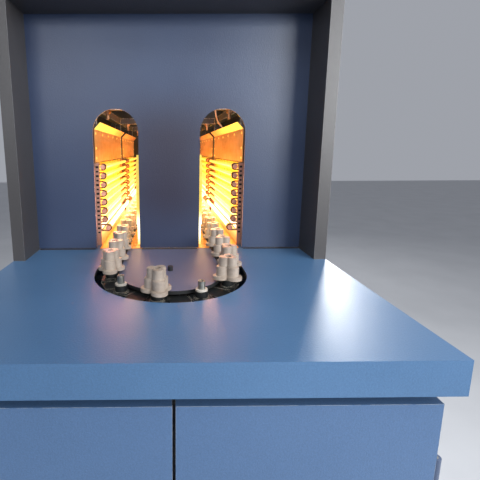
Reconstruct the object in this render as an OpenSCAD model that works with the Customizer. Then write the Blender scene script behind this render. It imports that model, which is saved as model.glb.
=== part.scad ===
// Preform heating oven of a bottle blow moulding machine.
// X runs across the oven, Y from the operator into it, Z up from the floor.
// The origin lies on the floor, in the middle of the four corner feet.

/* [Table] */
// Height of the table's top face above the floor
table_z = 900; // [840:10:980]
// Width of the table and of the hood
table_w = 670; // [660:10:720]
// How far the table reaches in front of the oven's wall
table_front = 470; // [440:10:540]
// Distance from the middle of the rear turn to the hood's back
rear_room = 228; // [218:1:240]
// Thickness of the table plate
table_t = 6; // [4:1:8]
// Height of the table's turned-down edge
skirt_h = 45; // [30:5:50]

/* [Oven hood] */
// Height of the hood above the table
hood_h = 585; // [540:5:640]
// Thickness of the hood's sheet
sheet_t = 2.5; // [2:0.5:3]
// Width of the hood's hollow front edge
cheek_w = 25; // [20:1:30]
// How far the hood's sides stand in front of the wall
cheek_reach = 90; // [70:5:120]
// Height of the hood's front fascia
fascia_h = 65; // [50:5:80]
// Thickness of the wall with the windows
wall_t = 3; // [2:0.5:4]
// Gap between the wall's foot and the table
wall_gap = 3; // [2:0.5:5]
// Distance from the middle to a window's near edge
window_in = 70; // [66:1:76]
// Width of a window
window_w = 102.5; // [98:0.5:106]
// Height of a window's crown above the table
window_h = 324; // [320:1:360]

/* [Conveyor] */
// Pitch of the conveyor chain
pitch = 38.1; // [37.5:0.1:38.5]
// Teeth on each chain wheel
teeth = 19; // [19:4:19]
// How far the chain's first link has turned in, in links
lead = 0.135; // [0.12:0.005:0.2]
// Distance from the wall to the middle of the front turn
turn_reach = 165; // [160:1:175]
// Radius of a chain roller
roller_r = 9.5; // [9:0.1:10]
// Radius of a chain pin
pin_r = 5; // [4.5:0.1:5.5]
// Half width of a link plate
plate_r = 10.5; // [10:0.1:11]
// Thickness of a link plate
plate_t = 3; // [2.5:0.1:3]
// Clear height between the inner plates
roller_h = 16; // [14:0.5:18]
// Thickness of a slat
slat_t = 4; // [3:0.5:5]
// Depth of the slats' top below the table's top
slat_drop = 10; // [9:0.5:12]
// Reach of a slat inwards from the chain line
slat_in = 21; // [20:0.5:22]
// Reach of a slat outwards from the chain line
slat_out = 17; // [16:0.5:18]
// Gap between two slats at the chain line
slat_gap = 0.8; // [0.6:0.1:1.2]
// Distance from the chain line to the slot's inner edge
slot_in_gap = 17.2; // [17:0.1:18]
// Distance from the chain line to the slot's outer edge
slot_out_gap = 29.5; // [28.5:0.1:31]

/* [Preform holders] */
// Radius of the turning spindle in its housing
spindle_r = 4; // [3.5:0.1:4.5]
// Radius of the stud that carries a holder
stud_r = 6; // [5.5:0.1:6.2]
// Height of the stud's tip above the table
stud_top = 20; // [17:0.5:22]
// Thickness of the white washer
washer_t = 2.6; // [2:0.1:3]
// Radius of the white washer
washer_r = 10; // [9:0.1:10.5]
// Height of the washer's seat above the table
seat_z = 3; // [2:0.5:5]
// Height of the flange, middle and top tier of a holder
tier_h = [6, 17, 17];
// Radius of the lobes on each tier
lobe_r = [13.7, 10.3, 9];
// Distance of the lobes from the holder's axis on each tier
lobe_d = [13.9, 11.2, 8.1];

/* [Heating lamps] */
// Lamps in one bank
lamps = 8; // [7:1:8]
// Distance between two lamps
lamp_pitch = 21.35; // [21:0.05:22]
// Height of the second lamp above the table
lamp_z = 65; // [62:1:70]
// Distance of the lamps from the middle
lamp_x = 160; // [158:0.5:161]
// How far the lowest lamp stands nearer to the lane
low_step = 9; // [6:0.5:10]
// Radius of a quartz tube
tube_r = 5; // [4.5:0.1:5.5]
// Length of a heating module
module_l = 500; // [480:5:505]
// Distance from the wall to the first module
module_y = 38; // [34:1:45]
// Gap between the two modules
module_gap = 60; // [50:1:80]
// Length of a lamp's ceramic end
ceramic_l = 26; // [20:1:30]
// Radius of a lamp's ceramic end
ceramic_r = 5.8; // [5.4:0.1:6.2]

/* [Cabinet] */
// Side of the square frame tube
tube_w = 50; // [40:5:50]
// Distance from the table's edge to the frame
frame_inset = 19; // [18:1:24]
// Height of the frame's underside above the floor
foot_h = 80; // [70:5:100]
// Radius of a foot's pad
foot_r = 40; // [35:1:45]
// Radius of the anchor hole in a corner foot
anchor_r = 6.5; // [5:0.5:7]
// Thickness of a door
door_t = 20; // [16:1:22]
// Radius of the wheel axles
axle_r = 17.5; // [15:0.5:19]

/* [Hidden] */
$fn = 64;
run = 0.1;
seat = 0.3;
joint = 0.1;

// The chain loop: two half turns and two straight runs, long enough for both heating modules
turn_clear = 10;
oven_l = module_y + 2 * module_l + module_gap;
tooth_a = 360 / teeth;
chain_r = pitch / (2 * sin(tooth_a / 2));
mid_r = chain_r * cos(tooth_a / 2);
turn_links = (teeth + 1) / 2;
lane_lead = turn_links + lead - teeth / 2;
lane_links = 2 * ceil((oven_l + turn_reach + turn_clear) / (2 * pitch) - 0.25);
lane_l = (lane_links + 0.5) * pitch;

// Depth of the whole machine, and the places that follow from it
depth = table_front - turn_reach + lane_l + rear_room;
front_y = -depth / 2;
wall_y = front_y + table_front;
rear_y = depth / 2;
turn_y = wall_y - turn_reach;
rear_turn_y = turn_y + lane_l;
loop_y = (turn_y + rear_turn_y) / 2;
half_w = table_w / 2;
cheek_x = half_w - cheek_w;
hood_z = table_z + hood_h;
fascia_z = hood_z - fascia_h;
skirt_t = 3;

// The island stands inside the chain's slot
slot_in = chain_r - slot_in_gap;
slot_out = chain_r + slot_out_gap;

// Heights of the chain's layers, from the slats down
slat_z = table_z - slat_drop - slat_t;
outer_top_z = slat_z - plate_t;
inner_top_z = outer_top_z - seat - plate_t;
roller_z = inner_top_z - roller_h;
inner_low_z = roller_z - plate_t;
outer_low_z = inner_low_z - seat - plate_t;
slat_half = (pitch - slat_gap) / 2;
inner_taper = slat_in * tan(12.5);
outer_taper = slat_out * tan(7.5);

// Heights of the spindle and the holder
housing_top = table_z + seat_z;
washer_z = housing_top + seat;
holder_z = washer_z + washer_t;
housing_r = 10.6;
housing_foot_r = 13;
housing_foot_h = 2;
bore_r = spindle_r + seat;
holder_bore = stud_r + 0.25;

// The heating modules
lamp_top_z = table_z + lamp_z + (lamps - 2) * lamp_pitch;
lamp_low_z = table_z + lamp_z - lamp_pitch;
post_w = 20;
post_x = lamp_x + 17;
reflector_t = 2;
comb_t = 2.5;
comb_w = 34;
comb_x = post_x - reflector_t - comb_t;
flange_w = 10.5;
flange_x = post_x + 1 - flange_w;
clip_w = 9;
clip_in = ceramic_r + seat;
clip_out = clip_in + 2.4;
floor_t = 1.5;
wing_z = lamp_top_z + 11;
wing_h = 78;
wing_lean = 15;
post_top = table_z + 330;

// The frame and its cross beams
frame_x = half_w - frame_inset;
frame_front = front_y + 30;
frame_rear = rear_y - 30;
frame_top = table_z - table_t;
rail_z = frame_top - tube_w;
beam_drop = 120;
bar_drop = 80;
bar_w = 30;
post_r = 12;
beam_top = table_z - beam_drop;
beam_z = beam_top - tube_w;
bar_top = table_z - bar_drop;
bars_y = [turn_y + 190, tube_w, rear_turn_y - 190];
leg_y = [frame_front, -tube_w / 2, frame_rear - tube_w];
foot_x = frame_x - tube_w / 2;
foot_y = frame_rear - tube_w / 2;

// The front axle carries the island by a flange, and one bolt holds both
flange_r = 28;
bolt_r = 4;
bolt_y = turn_y + 8;
bolt_l = 28;
cap_r = 5.2;
cap_h = 9.5;

// The doors turn on knuckles beside the frame
door_top = table_z - skirt_h - 15;
door_z = foot_h + 10;
door_gap = 3;
hinge_r = 6;
hinge_pin_r = 3;
hinge_x = frame_x + joint + hinge_r;
hinge_y = frame_front - door_gap - door_t / 2;
door_edge = frame_x - 1;
knuckle_h = 30;
knuckles_z = [door_z + 80, door_top - 80 - 3 * knuckle_h];

module both_sides() {
  children();
  mirror([1, 0, 0]) children();
}

module block(low, high) {
  translate(low) cube(high - low);
}

// Outline of the chain loop, grown or shrunk to a radius
module loop_outline(r) {
  translate([0, turn_y]) circle(r, $fn = 128);
  translate([0, rear_turn_y]) circle(r, $fn = 128);
  translate([-r, turn_y]) square([2 * r, lane_l]);
}

module half_loop_on() {
  translate([0, loop_y, 0]) rotate(180) translate([0, -loop_y, 0]) children();
}

// Place something on link number n of the front turn
module on_turn(n) {
  translate([0, turn_y, 0]) rotate((lead + n) * tooth_a - 90) translate([0, -mid_r, 0]) children();
}

// Place something on link number n of the right run
module on_lane(n) {
  translate([chain_r, turn_y + (lane_lead + n) * pitch, 0]) rotate(90) children();
}

// One sheet of the table between two depths, with its sides turned down
module table_sheet(y0, y1) {
  difference() {
    block([-half_w, y0, frame_top], [half_w, y1, table_z]);
    translate([0, 0, frame_top - 1]) linear_extrude(table_t + 2) loop_outline(slot_out);
  }
  both_sides() block([half_w - skirt_t, y0, table_z - skirt_h], [half_w, y1, frame_top]);
}

// The two sheets meet under the oven's wall
module table_top() {
  color("steelblue") {
    table_sheet(front_y, wall_y - joint);
    block([-half_w, front_y, table_z - skirt_h], [half_w, front_y + skirt_t, frame_top]);
    table_sheet(wall_y, rear_y);
  }
}

module island_plate() {
  color("steelblue") difference() {
    translate([0, 0, frame_top]) linear_extrude(table_t) loop_outline(slot_in);
    translate([0, bolt_y, frame_top - 1]) cylinder(r = bolt_r + seat, h = table_t + 2);
  }
}

module island_posts() {
  color("dimgray") for (y = bars_y) {
    translate([0, y, beam_top]) cylinder(r = post_r, h = frame_top - beam_top);
  }
}

// Bright sheets on the table and the island under the lamps, the inner ones slotted for air
module tunnel_floor() {
  y0 = wall_y + wall_t + 2;
  inner_x = [64, 96];
  air_x = [79.5, 90.5];
  air_l = 6;
  air_pitch = 15;
  color("goldenrod") both_sides() translate([0, 0, table_z]) linear_extrude(floor_t) {
    translate([slot_out + 2, y0]) square([flange_x - slot_out - 3, wall_y + oven_l - y0]);
    difference() {
      translate([inner_x[0], y0]) square([inner_x[1] - inner_x[0], wall_y + oven_l - y0]);
      for (y = [y0 + air_l:air_pitch:wall_y + oven_l - 2 * air_l])
        translate([air_x[0], y]) square([air_x[1] - air_x[0], air_l]);
    }
  }
}

module window_outline() {
  r = window_w / 2;
  translate([window_in, -wall_gap]) square([window_w, window_h - r + wall_gap]);
  translate([window_in + r, window_h - r]) circle(r, $fn = 96);
}

module oven_wall() {
  color("slateblue") translate([0, wall_y + wall_t, table_z]) rotate([90, 0, 0])
    linear_extrude(wall_t) difference() {
      translate([-cheek_x, wall_gap]) square([2 * cheek_x, fascia_z - table_z - wall_gap]);
      window_outline();
      mirror([1, 0]) window_outline();
    }
}

fan_y = loop_y;
fan_r = 90;
fan_h = 70;

hood_front = wall_y - cheek_reach;

// One side of the hood: outer sheet, hollow front edge and inner cheek
module hood_side() {
  difference() {
    union() {
      block([half_w - sheet_t, hood_front, table_z], [half_w, rear_y - sheet_t, hood_z - sheet_t]);
      block([cheek_x, hood_front, table_z], [half_w, hood_front + sheet_t, hood_z - sheet_t]);
      block([cheek_x, hood_front, table_z], [cheek_x + sheet_t, wall_y + 2 * wall_t, hood_z - sheet_t]);
    }
    louvres();
  }
}

// Cooling slots near the foot and the top of a side
module louvres() {
  slot_l = 110;
  slot_h = 7;
  slot_pitch = [230, 18];
  for (z = [table_z + 60, table_z + 400], row = [0:5], col = [0:4])
    translate([half_w - sheet_t - 1, wall_y + slot_pitch[0] * (col + 1), z + row * slot_pitch[1]])
      cube([sheet_t + 2, slot_l, slot_h]);
}

module hood_side_right() {
  color("slategray") hood_side();
}

module hood_side_left() {
  color("slategray") mirror([1, 0, 0]) hood_side();
}

// Roof with the front fascia, which drops between the two cheeks
module hood_roof() {
  color("slategray") {
    difference() {
      block([-half_w, hood_front, hood_z - sheet_t], [half_w, rear_y, hood_z]);
      translate([0, fan_y, hood_z - 10]) cylinder(r = fan_r, h = 20);
    }
    block([-cheek_x, hood_front, fascia_z], [cheek_x, hood_front + sheet_t, hood_z - sheet_t]);
    block([-cheek_x, hood_front, fascia_z], [cheek_x, wall_y + 2 * wall_t, fascia_z + sheet_t]);
  }
}

module hood_rear() {
  color("slategray") block([-half_w, rear_y - sheet_t, table_z], [half_w, rear_y, hood_z - sheet_t]);
}

module fan_housing() {
  color("dimgray") {
    difference() {
      union() {
        translate([0, fan_y, hood_z]) cylinder(r = fan_r + 22, h = 4);
        translate([0, fan_y, hood_z]) cylinder(r = fan_r + 3, h = fan_h);
      }
      translate([0, fan_y, hood_z - 1]) cylinder(r = fan_r, h = fan_h + 2);
    }
    for (a = [0, 90]) translate([0, fan_y, hood_z + fan_h - 10]) rotate(a)
      translate([-fan_r - 1, -6, 0]) cube([2 * fan_r + 2, 12, 4]);
    translate([0, fan_y, hood_z + fan_h - 30]) cylinder(r = 28, h = 24);
  }
}

module fan_rotor() {
  color("silver") translate([0, fan_y, hood_z]) {
    difference() {
      cylinder(r = 26, h = 36);
      translate([0, 0, -1]) cylinder(r = 22, h = 33);
    }
    translate([0, 0, 36]) cylinder(r = 6, h = fan_h - 30 - 36 - seat);
    for (a = [0:60:300]) rotate(a) translate([24, 0, 18]) rotate([32, 0, 0])
      translate([0, -19, -1]) cube([fan_r - 30, 38, 2]);
  }
}

// Everything in a heating module stands on one side; the other mirrors it
module per_module() {
  for (n = [0, 1]) translate([0, wall_y + module_y + n * (module_l + module_gap), 0]) children();
}

function lamp_at(n) = [n == 0 ? lamp_x - low_step : lamp_x, table_z + lamp_z + (n - 1) * lamp_pitch];

module lamp_tubes() {
  color("gold") both_sides() per_module() for (n = [0:lamps - 1]) {
    p = lamp_at(n);
    translate([p[0], ceramic_l + 2, p[1]]) rotate([-90, 0, 0])
      cylinder(r = tube_r, h = module_l - 2 * ceramic_l - 4, $fn = 32);
  }
}

module lamp_ends() {
  color("white") both_sides() per_module() for (n = [0:lamps - 1], far = [0, 1]) {
    p = lamp_at(n);
    translate([p[0], far * (module_l - ceramic_l), p[1]]) rotate([-90, 0, 0]) {
      cylinder(r = ceramic_r, h = ceramic_l, $fn = 32);
      translate([0, 0, far == 0 ? ceramic_l : -2]) cylinder(r = tube_r, h = 2, $fn = 32);
    }
  }
}

// A spring clip: a ring round the ceramic and two legs to the comb
module lamp_clips() {
  color("silver") both_sides() per_module() for (n = [0:lamps - 1], far = [0, 1]) {
    p = lamp_at(n);
    translate([p[0], far * (module_l - clip_w - 8) + 4, p[1]]) rotate([-90, 0, 0]) linear_extrude(clip_w)
      difference() {
        union() {
          circle(clip_out, $fn = 32);
          translate([0, -clip_out]) square([comb_x - p[0], 2 * clip_out]);
        }
        circle(clip_in, $fn = 32);
        translate([0, -clip_in]) square([comb_x - p[0] + 1, 2 * clip_in]);
      }
  }
}

// Two combs hold a module's lamps; each has a perforated flange across the lane's side
module lamp_combs() {
  hole = [7, 5.4];
  small = [6, 4.3];
  far_y = module_l - comb_w;
  color("gray") both_sides() per_module() {
    for (far = [0, 1]) translate([0, far * far_y, 0]) difference() {
      block([comb_x, 0, table_z], [comb_x + comb_t, comb_w, wing_z - 2]);
      for (n = [0:lamps - 1])
        block([comb_x - 1, 19, lamp_at(n)[1] - 5], [comb_x + comb_t + 1, 30, lamp_at(n)[1] + 5]);
    }
    for (y = [0, module_l + comb_t]) translate([flange_x, y, 0]) rotate([90, 0, 0]) linear_extrude(comb_t)
      difference() {
        translate([0, table_z]) square([flange_w, wing_z - 2 - table_z]);
        for (n = [0:lamps - 1]) translate([flange_w / 2, lamp_at(n)[1]]) square(hole, center = true);
        for (n = [-1:lamps - 2])
          translate([flange_w / 2, lamp_at(n)[1] + lamp_pitch / 2]) square(small, center = true);
      }
  }
}

module outer_reflectors() {
  color("goldenrod") both_sides() per_module()
    block([post_x - reflector_t, 0, lamp_low_z - 13], [post_x, module_l, wing_z - 2]);
}

module reflector_wings() {
  t = 1.6;
  bend_z = wing_z + wing_h;
  tip_x = post_x - wing_lean;
  tip_z = bend_z + wing_lean;
  color("goldenrod") both_sides() per_module() {
    block([post_x - t, 0, wing_z], [post_x, module_l, bend_z]);
    translate([0, module_l, 0]) rotate([90, 0, 0]) linear_extrude(module_l)
      polygon([[post_x, bend_z], [post_x - t, bend_z - 0.5], [tip_x - t, tip_z], [tip_x, tip_z + 1]]);
  }
}

// Inner reflector of each side, on three legs that stand on the island
module inner_reflectors() {
  x = window_in + 8;
  leg = [12, 16, 220];
  color("goldenrod") both_sides() translate([0, wall_y + module_y, 0]) {
    block([x, 0, table_z + 52], [x + reflector_t, oven_l - module_y, wing_z - 2]);
    for (y = [0, module_l, 2 * module_l])
      translate([x - leg[0], y, table_z + floor_t]) cube([leg[0] - joint, leg[1], leg[2]]);
  }
}

// Posts, side rails and cross ties, butted together
module tunnel_frame() {
  post_in = 36;
  first_y = wall_y + module_y + post_in;
  last_y = wall_y + oven_l - post_in - post_w;
  ys = [first_y, wall_y + module_y + module_l + module_gap / 2 - post_w / 2, last_y];
  color("saddlebrown") {
    both_sides() {
      for (y = ys) block([post_x, y, table_z], [post_x + post_w, y + post_w, post_top - joint]);
      block([post_x, first_y, post_top], [post_x + post_w, last_y + post_w, post_top + post_w]);
    }
    for (y = ys) block([-post_x + joint, y, post_top], [post_x - joint, y + post_w, post_top + post_w]);
  }
}

// Frame of square tube: each bar butts against the next
module frame() {
  inner = frame_x - tube_w - joint;
  bearer = 60;
  spine = 30;
  bar_in = post_r + seat;
  color("slategray") {
    both_sides() {
      for (y = leg_y) block([frame_x - tube_w, y, foot_h], [frame_x, y + tube_w, frame_top]);
      for (z = [foot_h, beam_z, rail_z], n = [0, 1])
        block([frame_x - tube_w, leg_y[n] + tube_w + joint, z],
              [frame_x, leg_y[n + 1] - joint, z + tube_w]);
      for (z = knuckles_z, n = [0, 2]) translate([0, 0, z + n * knuckle_h]) hinge_leaf();
      for (y = bars_y) block([bar_in, y - bar_w / 2, beam_top + joint], [frame_x, y + bar_w / 2, bar_top]);
    }
    for (y = [leg_y[0], leg_y[2]], z = [foot_h, rail_z])
      block([-inner, y, z], [inner, y + tube_w, z + tube_w]);
    block([-inner, turn_y - bearer, beam_z], [inner, turn_y + bearer, beam_top]);
    difference() {
      block([-inner, rear_turn_y - bearer, beam_z], [inner, rear_turn_y + bearer, beam_top]);
      translate([0, rear_turn_y, beam_z - 1]) cylinder(r = axle_r + 3, h = tube_w + 2);
    }
    block([-spine, turn_y + bearer + joint, beam_z], [spine, rear_turn_y - bearer - joint, beam_top]);
  }
}

// The frame's leaf of a door hinge, beside the front leg
module hinge_leaf() {
  difference() {
    union() {
      block([frame_x + joint, hinge_y, 0], [hinge_x, frame_front + 40, knuckle_h - seat]);
      translate([hinge_x, hinge_y, 0]) cylinder(r = hinge_r, h = knuckle_h - seat);
    }
    translate([hinge_x, hinge_y, -1]) cylinder(r = hinge_pin_r + run, h = knuckle_h + 2);
  }
}

module side_skins() {
  t = 2;
  top = table_z - skirt_h - 4;
  color("steelblue") {
    both_sides() block([frame_x, frame_front + 60, foot_h], [frame_x + t, frame_rear, top]);
    block([-frame_x, frame_rear, foot_h], [frame_x, frame_rear + t, top]);
  }
}

module door(side) {
  pull = [12, 160];
  color("steelblue") difference() {
    union() {
      block([2, hinge_y - door_t / 2, door_z], [door_edge, hinge_y + door_t / 2, door_top]);
      for (z = knuckles_z) translate([0, 0, z + knuckle_h]) {
        block([door_edge - 1, hinge_y - 4, 0], [hinge_x, hinge_y + 4, knuckle_h - seat]);
        translate([hinge_x, hinge_y, 0]) cylinder(r = hinge_r, h = knuckle_h - seat);
      }
    }
    for (z = knuckles_z) translate([hinge_x, hinge_y, z + knuckle_h - 1])
      cylinder(r = hinge_pin_r + run, h = knuckle_h + 2);
    block([22, hinge_y - door_t / 2 - 1, door_top - 120 - pull[1]],
          [22 + 2 * pull[0], hinge_y - door_t / 2 + 12, door_top - 120]);
  }
}

module door_right() {
  door();
}

module door_left() {
  mirror([1, 0, 0]) door();
}

module hinge_pins() {
  color("silver") both_sides() for (z = knuckles_z) translate([hinge_x, hinge_y, z])
    cylinder(r = hinge_pin_r, h = 3 * knuckle_h - seat);
}

module levelling_feet() {
  color("black") for (x = [-foot_x, foot_x], y = [for (y = leg_y) y + tube_w / 2])
    translate([x, y, 0]) difference() {
      union() {
        cylinder(r = foot_r, h = 10);
        cylinder(r = 8, h = foot_h);
        translate([0, 0, foot_h - 12]) cylinder(r = 15, h = 12, $fn = 6);
      }
      if (abs(y) > foot_y - 1)
        translate([(x > 0 ? 1 : -1) * 27, 0, -1]) cylinder(r = anchor_r, h = 12);
    }
}

module front_axle() {
  color("dimgray") difference() {
    union() {
      translate([0, turn_y, beam_top]) cylinder(r = axle_r, h = frame_top - beam_top);
      translate([0, turn_y, slat_z]) cylinder(r = flange_r, h = frame_top - slat_z);
    }
    translate([0, bolt_y, frame_top - bolt_l - 2]) cylinder(r = bolt_r + 0.05, h = bolt_l + 3);
  }
}

module axle_bolt() {
  color("black") translate([0, bolt_y, frame_top - bolt_l]) {
    cylinder(r = bolt_r, h = bolt_l + table_t);
    translate([0, 0, bolt_l + table_t]) cylinder(r = cap_r, h = cap_h - 1);
    translate([0, 0, bolt_l + table_t + cap_h - 1]) cylinder(r1 = cap_r, r2 = cap_r - 1, h = 1);
  }
}

block_top = outer_low_z - 8;
hub_r = 30;
hub_low = outer_low_z - 7;

module bearing_blocks() {
  color("dimgray") for (y = [turn_y, rear_turn_y]) translate([0, y, beam_top]) difference() {
    union() {
      translate([-45, -45, 0]) cube([90, 90, 18]);
      cylinder(r = 28, h = block_top - beam_top);
    }
    translate([0, 0, -1]) cylinder(r = axle_r + run, h = block_top - beam_top + 2);
  }
}

// Inner and outer rail under the slats of each straight run
module guide_rails() {
  top = slat_z - seat;
  rail_t = [6, 4.5];
  y0 = turn_y + 80;
  y1 = rear_turn_y - 80;
  color("gray") both_sides() {
    block([chain_r - slat_in, y0, bar_top], [chain_r - slat_in + rail_t[0], y1, top]);
    block([chain_r + slat_out - rail_t[1], y0, bar_top], [chain_r + slat_out, y1, top]);
  }
}

gear_w = 120;
gear_h = 150;
motor_z = beam_z - gear_h;

module gearmotor() {
  color("darkslategray") {
    difference() {
      translate([-gear_w / 2, rear_turn_y - gear_w / 2, motor_z]) cube([gear_w, gear_w, gear_h]);
      translate([0, rear_turn_y, motor_z - 1]) cylinder(r = axle_r + run, h = gear_h + 2);
    }
    translate([gear_w / 2, rear_turn_y, motor_z + gear_h / 2]) rotate([0, 90, 0]) {
      cylinder(r = 58, h = 12);
      translate([0, 0, 12]) cylinder(r = 52, h = 140);
      for (n = [0:8]) translate([0, 0, 22 + n * 13]) cylinder(r = 58, h = 4);
      translate([0, 0, 152]) cylinder(r = 56, h = 30);
    }
  }
}

module rear_shaft() {
  shaft_z = motor_z + 10;
  color("silver") translate([0, rear_turn_y, shaft_z]) cylinder(r = axle_r, h = slat_z - shaft_z);
}

// Chain wheel: round seats for the rollers, opened outwards so that they lift out
module chain_wheel(y) {
  side_gap = 1.5;
  h = roller_h - 2 * side_gap;
  tip_r = chain_r + 4.5;
  hub_h = slat_z - 1 - hub_low;
  color("gray") translate([0, y, roller_z + side_gap]) difference() {
    union() {
      cylinder(r = tip_r, h = h, $fn = 128);
      translate([0, 0, hub_low - roller_z - side_gap]) cylinder(r = hub_r, h = hub_h);
    }
    for (n = [0:teeth - 1]) rotate((lead + 0.5 + n) * tooth_a - 90) translate([0, -chain_r, -1]) {
      cylinder(r = roller_r + seat, h = h + 2, $fn = 48);
      linear_extrude(h + 2) polygon([
        [-roller_r - seat, 0], [roller_r + seat, 0], [roller_r + 3.2, -8], [-roller_r - 3.2, -8]
      ]);
    }
    translate([0, 0, -hub_h]) cylinder(r = axle_r + run, h = 2 * hub_h);
    for (a = [0:60:300]) rotate(a) translate([0.6 * chain_r, 0, -1]) cylinder(r = 20, h = h + 2);
  }
}

module front_wheel() {
  chain_wheel(turn_y);
}

module rear_wheel() {
  half_loop_on() chain_wheel(turn_y);
}

module link_plate() {
  linear_extrude(plate_t) {
    for (x = [-pitch / 2, pitch / 2]) translate([x, 0]) circle(plate_r, $fn = 48);
    translate([-pitch / 2, -plate_r + 1.5]) square([pitch, 2 * plate_r - 3]);
  }
}

// Outer link: two plates and its pins; the first one of a run leaves a pin out
module outer_link(first) {
  translate([0, 0, outer_top_z]) link_plate();
  translate([0, 0, outer_low_z]) link_plate();
  for (x = first ? [pitch / 2] : [-pitch / 2, pitch / 2])
    translate([x, 0, outer_low_z]) cylinder(r = pin_r, h = outer_top_z + plate_t - outer_low_z, $fn = 32);
}

module inner_link() {
  h = roller_h + 2 * plate_t;
  difference() {
    union() {
      translate([0, 0, inner_top_z]) link_plate();
      translate([0, 0, inner_low_z]) link_plate();
      for (x = [-pitch / 2, pitch / 2])
        translate([x, 0, inner_low_z]) cylinder(r = roller_r, h = h, $fn = 48);
    }
    for (x = [-pitch / 2, pitch / 2])
      translate([x, 0, inner_low_z - 1]) cylinder(r = pin_r + seat, h = h + 2, $fn = 32);
  }
}

module turn_chain() {
  color("dimgray") for (n = [0:turn_links - 1]) on_turn(n) {
    if (n % 2 == 0) outer_link(n == 0);
    else inner_link();
  }
}

module lane_chain() {
  color("dimgray") for (n = [0:lane_links - 1]) on_lane(n) {
    if (n % 2 == 0) outer_link(n == 0);
    else inner_link();
  }
}

// A slat, its underside lifted where it passes over its neighbours' link plates
module slat_plate(lift = 0) {
  translate([0, 0, slat_z + lift]) linear_extrude(slat_t - lift) polygon([
    [-slat_half, 0], [-slat_half + inner_taper, slat_in], [slat_half - inner_taper, slat_in],
    [slat_half, 0], [slat_half - outer_taper, -slat_out], [-slat_half + outer_taper, -slat_out]
  ]);
}

// A plain slat stands on the inner link by a low boss
module plain_slat() {
  slat_plate(seat);
  block([-pitch / 2 + plate_r + 1, -9, inner_top_z + plate_t], [pitch / 2 - plate_r - 1, 9, slat_z + seat]);
}

// Every second slat carries the housing of a spindle, a piece of its own
module housing_slat() {
  base = slat_z + slat_t;
  slat_plate();
  translate([0, 0, base + joint]) difference() {
    union() {
      cylinder(r = housing_foot_r, h = housing_foot_h, $fn = 48);
      cylinder(r = housing_r, h = housing_top - base - joint, $fn = 48);
    }
    translate([0, 0, -1]) cylinder(r = bore_r, h = housing_top - base + 2, $fn = 32);
  }
}

module turn_slats() {
  color("darkslategray") for (n = [0:turn_links - 1]) on_turn(n) {
    if (n % 2 == 0) housing_slat();
    else plain_slat();
  }
}

module lane_slats() {
  color("darkslategray") for (n = [0:lane_links - 1]) on_lane(n) {
    if (n % 2 == 0) housing_slat();
    else plain_slat();
  }
}

// Spindle in its housing, white washer on the flange and zinc stud above
module spindle() {
  foot_z = slat_z + slat_t + seat;
  tip_z = table_z + stud_top;
  rim_w = 1.4;
  dish_h = 1;
  socket = [2.6, 5];
  color("silver") difference() {
    union() {
      translate([0, 0, foot_z]) cylinder(r = spindle_r, h = washer_z - foot_z + 1, $fn = 32);
      translate([0, 0, washer_z]) cylinder(r = washer_r, h = washer_t, $fn = 48);
      translate([0, 0, holder_z]) cylinder(r = stud_r, h = tip_z - holder_z, $fn = 48);
    }
    translate([0, 0, tip_z - dish_h]) cylinder(r = stud_r - rim_w, h = dish_h + 1, $fn = 48);
    translate([0, 0, tip_z - socket[1]]) cylinder(r = socket[0], h = socket[1], $fn = 6);
  }
}

// Three lobes round a core, seen from above
module lobes(d, r) {
  for (a = [0, 120, 240]) rotate(a) translate([0, -d]) circle(r, $fn = 48);
  circle(0.95 * r, $fn = 48);
}

module lobed_tier(d, r, h) {
  edge = 1;
  linear_extrude(h - edge) lobes(d, r);
  translate([0, 0, h - edge]) linear_extrude(edge) lobes(d, r - edge);
}

// Three lobed nylon holder in three tiers, turned by an angle about its spindle
module holder(turn = 0) {
  h = tier_h[0] + tier_h[1] + tier_h[2];
  color("ivory") translate([0, 0, holder_z]) rotate(turn) difference() {
    union() {
      lobed_tier(lobe_d[0], lobe_r[0], tier_h[0]);
      translate([0, 0, tier_h[0]]) lobed_tier(lobe_d[1], lobe_r[1], tier_h[1]);
      translate([0, 0, tier_h[0] + tier_h[1]]) lobed_tier(lobe_d[2], lobe_r[2], tier_h[2]);
    }
    translate([0, 0, -1]) cylinder(r = holder_bore, h = h + 2, $fn = 48);
  }
}

// Each holder stopped at its own angle when the chain last moved
function holder_turn(n) = (n * 47) % 120;

module lane_holders() {
  for (n = [0:2:lane_links - 1]) on_lane(n) holder(holder_turn(n));
}

module lane_spindles() {
  for (n = [0:2:lane_links - 1]) on_lane(n) spindle();
}

module rear_holders() {
  half_loop_on() for (n = [0:2:turn_links - 1]) on_turn(n) holder(holder_turn(n));
}

module rear_spindles() {
  half_loop_on() for (n = [0:2:turn_links - 1]) on_turn(n) spindle();
}

table_top();
island_plate();
island_posts();
tunnel_floor();
oven_wall();
hood_side_left();
hood_side_right();
hood_roof();
hood_rear();
fan_housing();
fan_rotor();
reflector_wings();
outer_reflectors();
inner_reflectors();
lamp_tubes();
lamp_ends();
lamp_clips();
lamp_combs();
tunnel_frame();
frame();
side_skins();
door_left();
door_right();
hinge_pins();
levelling_feet();
front_axle();
axle_bolt();
bearing_blocks();
guide_rails();
gearmotor();
rear_shaft();
front_wheel();
rear_wheel();
turn_chain();  // front_links
half_loop_on() turn_chain();  // rear_links
lane_chain();  // right_links
half_loop_on() lane_chain();  // left_links
turn_slats();  // front_slats
half_loop_on() turn_slats();  // rear_slats
lane_slats();  // right_slats
half_loop_on() lane_slats();  // left_slats
rear_holders();
lane_holders();  // right_holders
half_loop_on() lane_holders();  // left_holders
rear_spindles();
lane_spindles();  // right_spindles
half_loop_on() lane_spindles();  // left_spindles
on_turn(0) spindle();  // spindle_a
on_turn(2) spindle();  // spindle_b
on_turn(4) spindle();  // spindle_c
on_turn(6) spindle();  // spindle_d
on_turn(8) spindle();  // spindle_e
on_turn(0) holder(87);  // holder_a
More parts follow.
